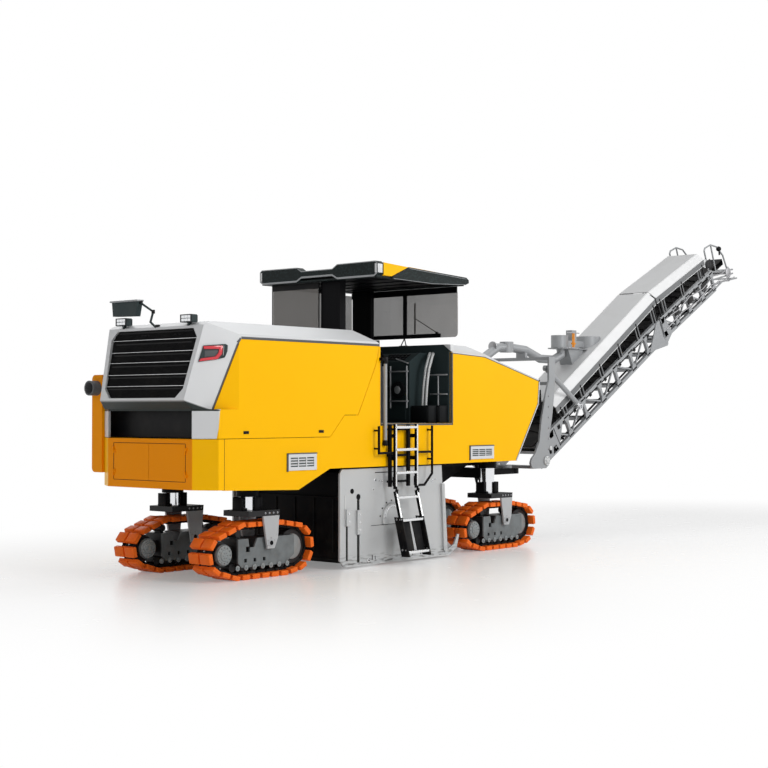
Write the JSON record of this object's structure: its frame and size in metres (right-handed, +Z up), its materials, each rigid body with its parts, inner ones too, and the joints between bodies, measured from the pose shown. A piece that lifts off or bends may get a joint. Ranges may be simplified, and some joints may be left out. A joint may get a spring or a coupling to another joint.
{
  "type": "cold planer milling machine",
  "caption": "Tracked road milling machine with a drum under its middle, an operator's stand with a canopy and a long slewing discharge conveyor.",
  "frame": {"origin": "on the ground under the middle of the whole machine's length and width", "axes": "+X forwards in the milling direction, towards the conveyor's head, +Y to the machine's left, +Z up"},
  "size_m": [14.9233, 2.6585, 5.2816],
  "materials": {
    "dark_steel": "satin",
    "black_paint": "satin",
    "engine_iron": "matte",
    "lamp_plastic": "satin",
    "chrome": "gloss",
    "yellow_paint": "gloss",
    "silver_paint": "satin",
    "black_grille": "matte",
    "lamp_inserts": "satin",
    "console_plastic": "matte",
    "roof_plastic": "satin",
    "tinted_glass": "tinted",
    "grey_steel": "satin",
    "drum_steel": "matte",
    "conveyor_grey": "satin",
    "cover_silver": "satin",
    "belt_rubber": "matte",
    "leg_grey": "satin",
    "track_pads": "matte"
  },
  "bodies": {
    "machine": {"main_frame": "dark_steel", "column_sleeves": "black_paint", "engine": "engine_iron", "rear_bumper": "yellow_paint", "side_panels": "yellow_paint", "front_cover": "silver_paint", "front_wall": "dark_steel", "side_lamps": "lamp_inserts", "side_locker": "yellow_paint", "platform": "dark_steel", "stand_fittings": "console_plastic", "canopy_posts": "black_paint", "canopy_roof": "yellow_paint", "canopy_trim": "roof_plastic", "glazing": "tinted_glass", "drum_housing": "grey_steel", "primary_conveyor": "conveyor_grey", "conveyor_bracket": "black_paint", "suction_pipe": "conveyor_grey", "upper_ladder": "black_paint"},
    "hood": {"hood_sides": "yellow_paint", "hood_crown": "silver_paint", "grille": "black_grille", "hood_lamps": "lamp_plastic"},
    "bumper_door_right_body": {"bumper_door_right": "yellow_paint"},
    "bumper_door_left_body": {"bumper_door_left": "yellow_paint"},
    "drum": {"milling_drum": "drum_steel"},
    "side_plate_right_body": {"side_plate_right": "grey_steel"},
    "side_plate_left_body": {"side_plate_left": "grey_steel"},
    "scraper_body": {"scraper": "grey_steel"},
    "mast": {"slew_mast": "conveyor_grey", "suction_hose": "conveyor_grey"},
    "lift_barrel_right_body": {"lift_barrel_right": "conveyor_grey"},
    "lift_barrel_left_body": {"lift_barrel_left": "conveyor_grey"},
    "lift_rod_right_body": {"lift_rod_right": "chrome"},
    "lift_rod_left_body": {"lift_rod_left": "chrome"},
    "discharge": {"discharge_frame": "conveyor_grey", "discharge_cover": "cover_silver", "discharge_belt": "belt_rubber", "suction_fan": "conveyor_grey"},
    "head": {"head_frame": "conveyor_grey", "head_cover": "cover_silver", "head_belt": "belt_rubber"},
    "ladder_foot": {"lower_ladder": "black_paint"},
    "undercarriage_rear_right": {"leg_rear_right": "leg_grey", "track_rear_right": "track_pads"},
    "undercarriage_rear_left": {"leg_rear_left": "leg_grey", "track_rear_left": "track_pads"},
    "undercarriage_front_right": {"leg_front_right": "leg_grey", "track_front_right": "track_pads"},
    "undercarriage_front_left": {"leg_front_left": "leg_grey", "track_front_left": "track_pads"}
  },
  "joints": [
    {"name": "hood_tilt", "type": "hinge", "parent": "machine", "child": "hood", "pos_m": [-4.3, 0, 3.04], "axis": [0, 1, 0], "range_deg": [0, 45]},
    {"name": "bumper_door_right_swing", "type": "hinge", "parent": "machine", "child": "bumper_door_right_body", "pos_m": [-7.331, -0.66, 1.44], "axis": [0, 0, 1], "range_deg": [0, 100]},
    {"name": "bumper_door_left_swing", "type": "hinge", "parent": "machine", "child": "bumper_door_left_body", "pos_m": [-7.331, 0.66, 1.44], "axis": [0, 0, -1], "range_deg": [0, 100]},
    {"name": "drum_spin", "type": "hinge", "parent": "machine", "child": "drum", "pos_m": [-3.92, 0, 0.62], "axis": [0, 1, 0], "continuous": true},
    {"name": "side_plate_right_lift", "type": "slide", "parent": "machine", "child": "side_plate_right_body", "axis": [0, 0, 1], "range_m": [0, 0.25]},
    {"name": "side_plate_left_lift", "type": "slide", "parent": "machine", "child": "side_plate_left_body", "axis": [0, 0, 1], "range_m": [0, 0.25]},
    {"name": "scraper_lift", "type": "slide", "parent": "machine", "child": "scraper_body", "axis": [0, 0, 1], "range_m": [0, 0.3]},
    {"name": "conveyor_slew", "type": "hinge", "parent": "machine", "child": "mast", "pos_m": [0.16, 0, 1.15], "axis": [0, 0, 1], "range_deg": [-50, 50]},
    {"name": "conveyor_lift", "type": "hinge", "parent": "mast", "child": "discharge", "pos_m": [0.42, 0, 1.27], "axis": [0, -1, 0], "range_deg": [-25, 0]},
    {"name": "conveyor_fold", "type": "hinge", "parent": "discharge", "child": "head", "pos_m": [4.5985, 0, 3.3071], "axis": [0, 1, 0], "range_deg": [0, 165]},
    {"name": "ladder_fold", "type": "hinge", "parent": "machine", "child": "ladder_foot", "pos_m": [-3.795, -1.18, 1], "axis": [-1, 0, 0], "range_deg": [0, 150]},
    {"name": "lift_barrel_left_turn", "type": "hinge", "parent": "mast", "child": "lift_barrel_left_body", "pos_m": [0.56, 0.49, 2.75], "axis": [0, -1, 0], "range_deg": [-11.59, 0]},
    {"name": "lift_rod_left_stroke", "type": "slide", "parent": "lift_barrel_left_body", "child": "lift_rod_left_body", "axis": [0.8536, 0, -0.5209], "range_m": [0, 0.5574]},
    {"name": "lift_barrel_right_turn", "type": "hinge", "parent": "mast", "child": "lift_barrel_right_body", "pos_m": [0.56, -0.49, 2.75], "axis": [0, -1, 0], "range_deg": [-11.59, 0]},
    {"name": "lift_rod_right_stroke", "type": "slide", "parent": "lift_barrel_right_body", "child": "lift_rod_right_body", "axis": [0.8536, 0, -0.5209], "range_m": [0, 0.5574]},
    {"name": "steer_rear_left", "type": "hinge", "parent": "machine", "child": "undercarriage_rear_left", "pos_m": [-6.32, 0.693, 0.8], "axis": [0, 0, 1], "range_deg": [-15, 15]},
    {"name": "steer_rear_right", "type": "hinge", "parent": "machine", "child": "undercarriage_rear_right", "pos_m": [-6.32, -0.693, 0.8], "axis": [0, 0, 1], "range_deg": [-15, 15]},
    {"name": "steer_front_left", "type": "hinge", "parent": "machine", "child": "undercarriage_front_left", "pos_m": [-1.315, 0.693, 0.8], "axis": [0, 0, 1], "range_deg": [-15, 15]},
    {"name": "steer_front_right", "type": "hinge", "parent": "machine", "child": "undercarriage_front_right", "pos_m": [-1.315, -0.693, 0.8], "axis": [0, 0, 1], "range_deg": [-15, 15]}
  ],
  "couplings": [
    {"joint": "lift_barrel_left_turn", "follows": "conveyor_lift", "ratio": 0.46337},
    {"joint": "lift_rod_left_stroke", "follows": "conveyor_lift", "m_per_rad": -1.2764},
    {"joint": "lift_barrel_right_turn", "follows": "conveyor_lift", "ratio": 0.46337},
    {"joint": "lift_rod_right_stroke", "follows": "conveyor_lift", "m_per_rad": -1.2764},
    {"joint": "steer_rear_right", "follows": "steer_rear_left", "ratio": 1},
    {"joint": "steer_front_right", "follows": "steer_front_left", "ratio": 1}
  ]
}
